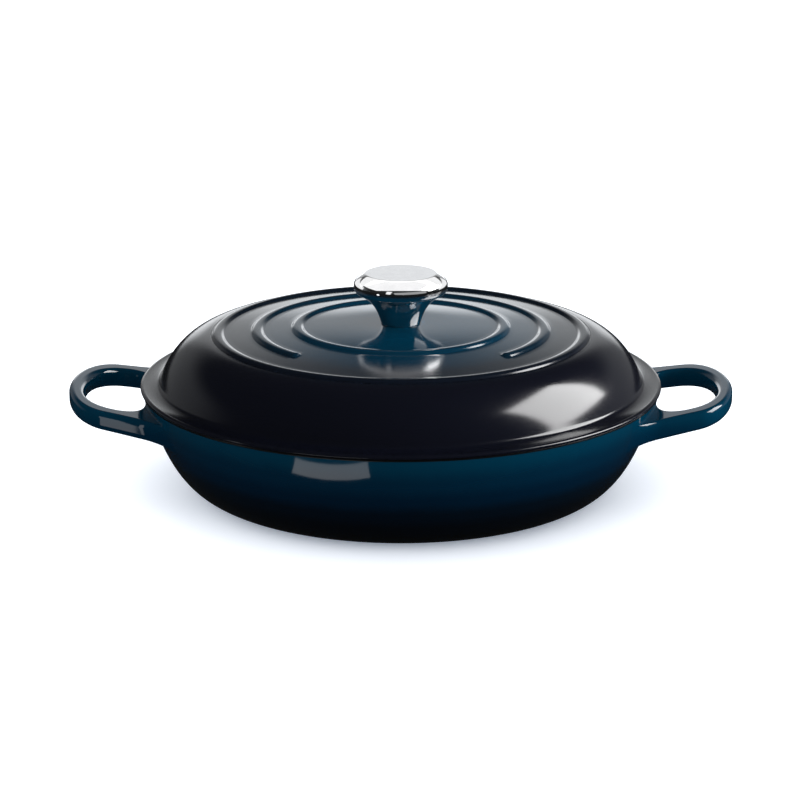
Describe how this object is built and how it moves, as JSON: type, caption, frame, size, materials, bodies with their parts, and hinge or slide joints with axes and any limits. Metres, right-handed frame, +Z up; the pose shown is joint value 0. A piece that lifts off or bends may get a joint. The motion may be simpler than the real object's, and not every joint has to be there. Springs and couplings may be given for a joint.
{
  "type": "lidded braiser",
  "caption": "Wide shallow enamelled cast iron braising pan with loop handles, a domed ringed lid and a stainless steel knob. The lid lifts off.",
  "frame": {"origin": "centre of the flat base, on the surface that the pan stands on", "axes": "+Z up, +X through the two loop handles, -Y towards the front"},
  "size_m": [0.4086, 0.3206, 0.1345],
  "materials": {
    "pan_enamel": "glossy vitreous enamel, deep teal at the rim and near black at the base",
    "lid_enamel": "glossy vitreous enamel, teal in the middle and near black outside",
    "knob_steel": "polished stainless steel",
    "fixing_steel": "bright machined steel"
  },
  "bodies": {
    "pan": {"pan": "pan_enamel"},
    "lid": {"lid": "lid_enamel", "knob_stem": "knob_steel", "knob_cap": "knob_steel", "knob_bush": "fixing_steel", "knob_screw": "fixing_steel", "knob_washer": "fixing_steel", "knob_lock_washer": "fixing_steel"}
  },
  "joints": [
    {"name": "lid_lift", "type": "slide", "parent": "pan", "child": "lid", "axis": [0, 0, 1], "range_m": [0, 0.15]}
  ]
}
